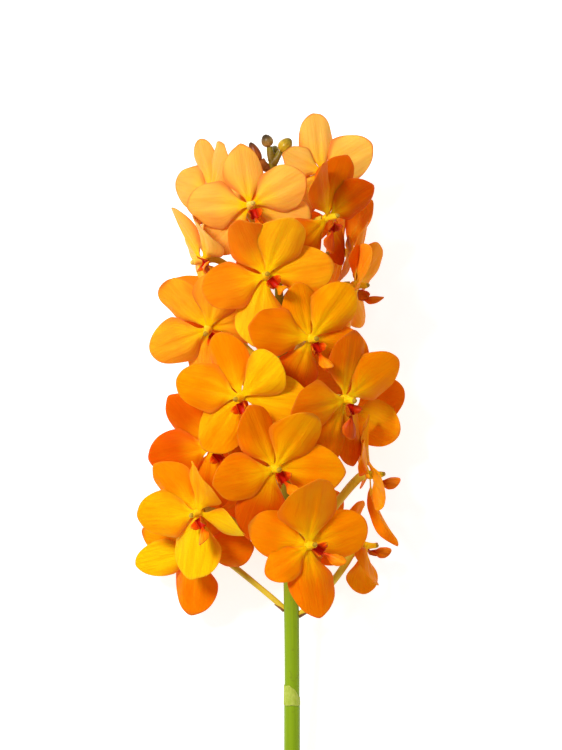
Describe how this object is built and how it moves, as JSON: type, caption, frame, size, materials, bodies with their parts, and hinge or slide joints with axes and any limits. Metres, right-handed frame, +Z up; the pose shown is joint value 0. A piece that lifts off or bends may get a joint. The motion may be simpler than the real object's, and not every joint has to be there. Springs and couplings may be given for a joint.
{
  "type": "cut vanda orchid",
  "caption": "Cut orchid stem lying flat: a dense head of overlapping orange blooms with dark red lips, small buds at the tip, a papery bract and a bare green stem to the cut end.",
  "frame": {"origin": "middle of the bottom of the bounding box, on the surface that the stem lies on", "axes": "+Y along the stem from the cut end to the buds, +Z up from the surface, +X to the right as seen from above with the buds ahead"},
  "size_m": [0.126, 0.3908, 0.0968],
  "materials": {
    "stem": "waxy",
    "bract": "dry, papery",
    "buds": "waxy",
    "petals": "waxy satin",
    "lips": "waxy satin"
  },
  "bodies": {
    "root": {"stem": "stem", "sheath": "bract", "bud_1": "buds", "bud_2": "buds", "bud_3": "buds", "bud_4": "buds", "bloom_01": "petals", "lip_01": "lips", "bloom_02": "petals", "lip_02": "lips", "bloom_03": "petals", "lip_03": "lips", "bloom_04": "petals", "lip_04": "lips", "bloom_05": "petals", "lip_05": "lips", "bloom_06": "petals", "lip_06": "lips", "bloom_07": "petals", "lip_07": "lips", "bloom_08": "petals", "lip_08": "lips", "bloom_09": "petals", "lip_09": "lips", "bloom_10": "petals", "lip_10": "lips", "bloom_11": "petals", "lip_11": "lips", "bloom_12": "petals", "lip_12": "lips", "bloom_13": "petals", "lip_13": "lips", "bloom_14": "petals", "lip_14": "lips", "bloom_15": "petals", "lip_15": "lips", "bloom_16": "petals", "lip_16": "lips", "bloom_17": "petals", "lip_17": "lips", "bloom_18": "petals", "lip_18": "lips", "bloom_19": "petals", "lip_19": "lips", "bloom_20": "petals", "lip_20": "lips", "bloom_21": "petals", "lip_21": "lips", "bloom_22": "petals", "lip_22": "lips", "bloom_23": "petals", "lip_23": "lips", "bloom_24": "petals", "lip_24": "lips", "bloom_25": "petals", "lip_25": "lips"}
  },
  "joints": []
}
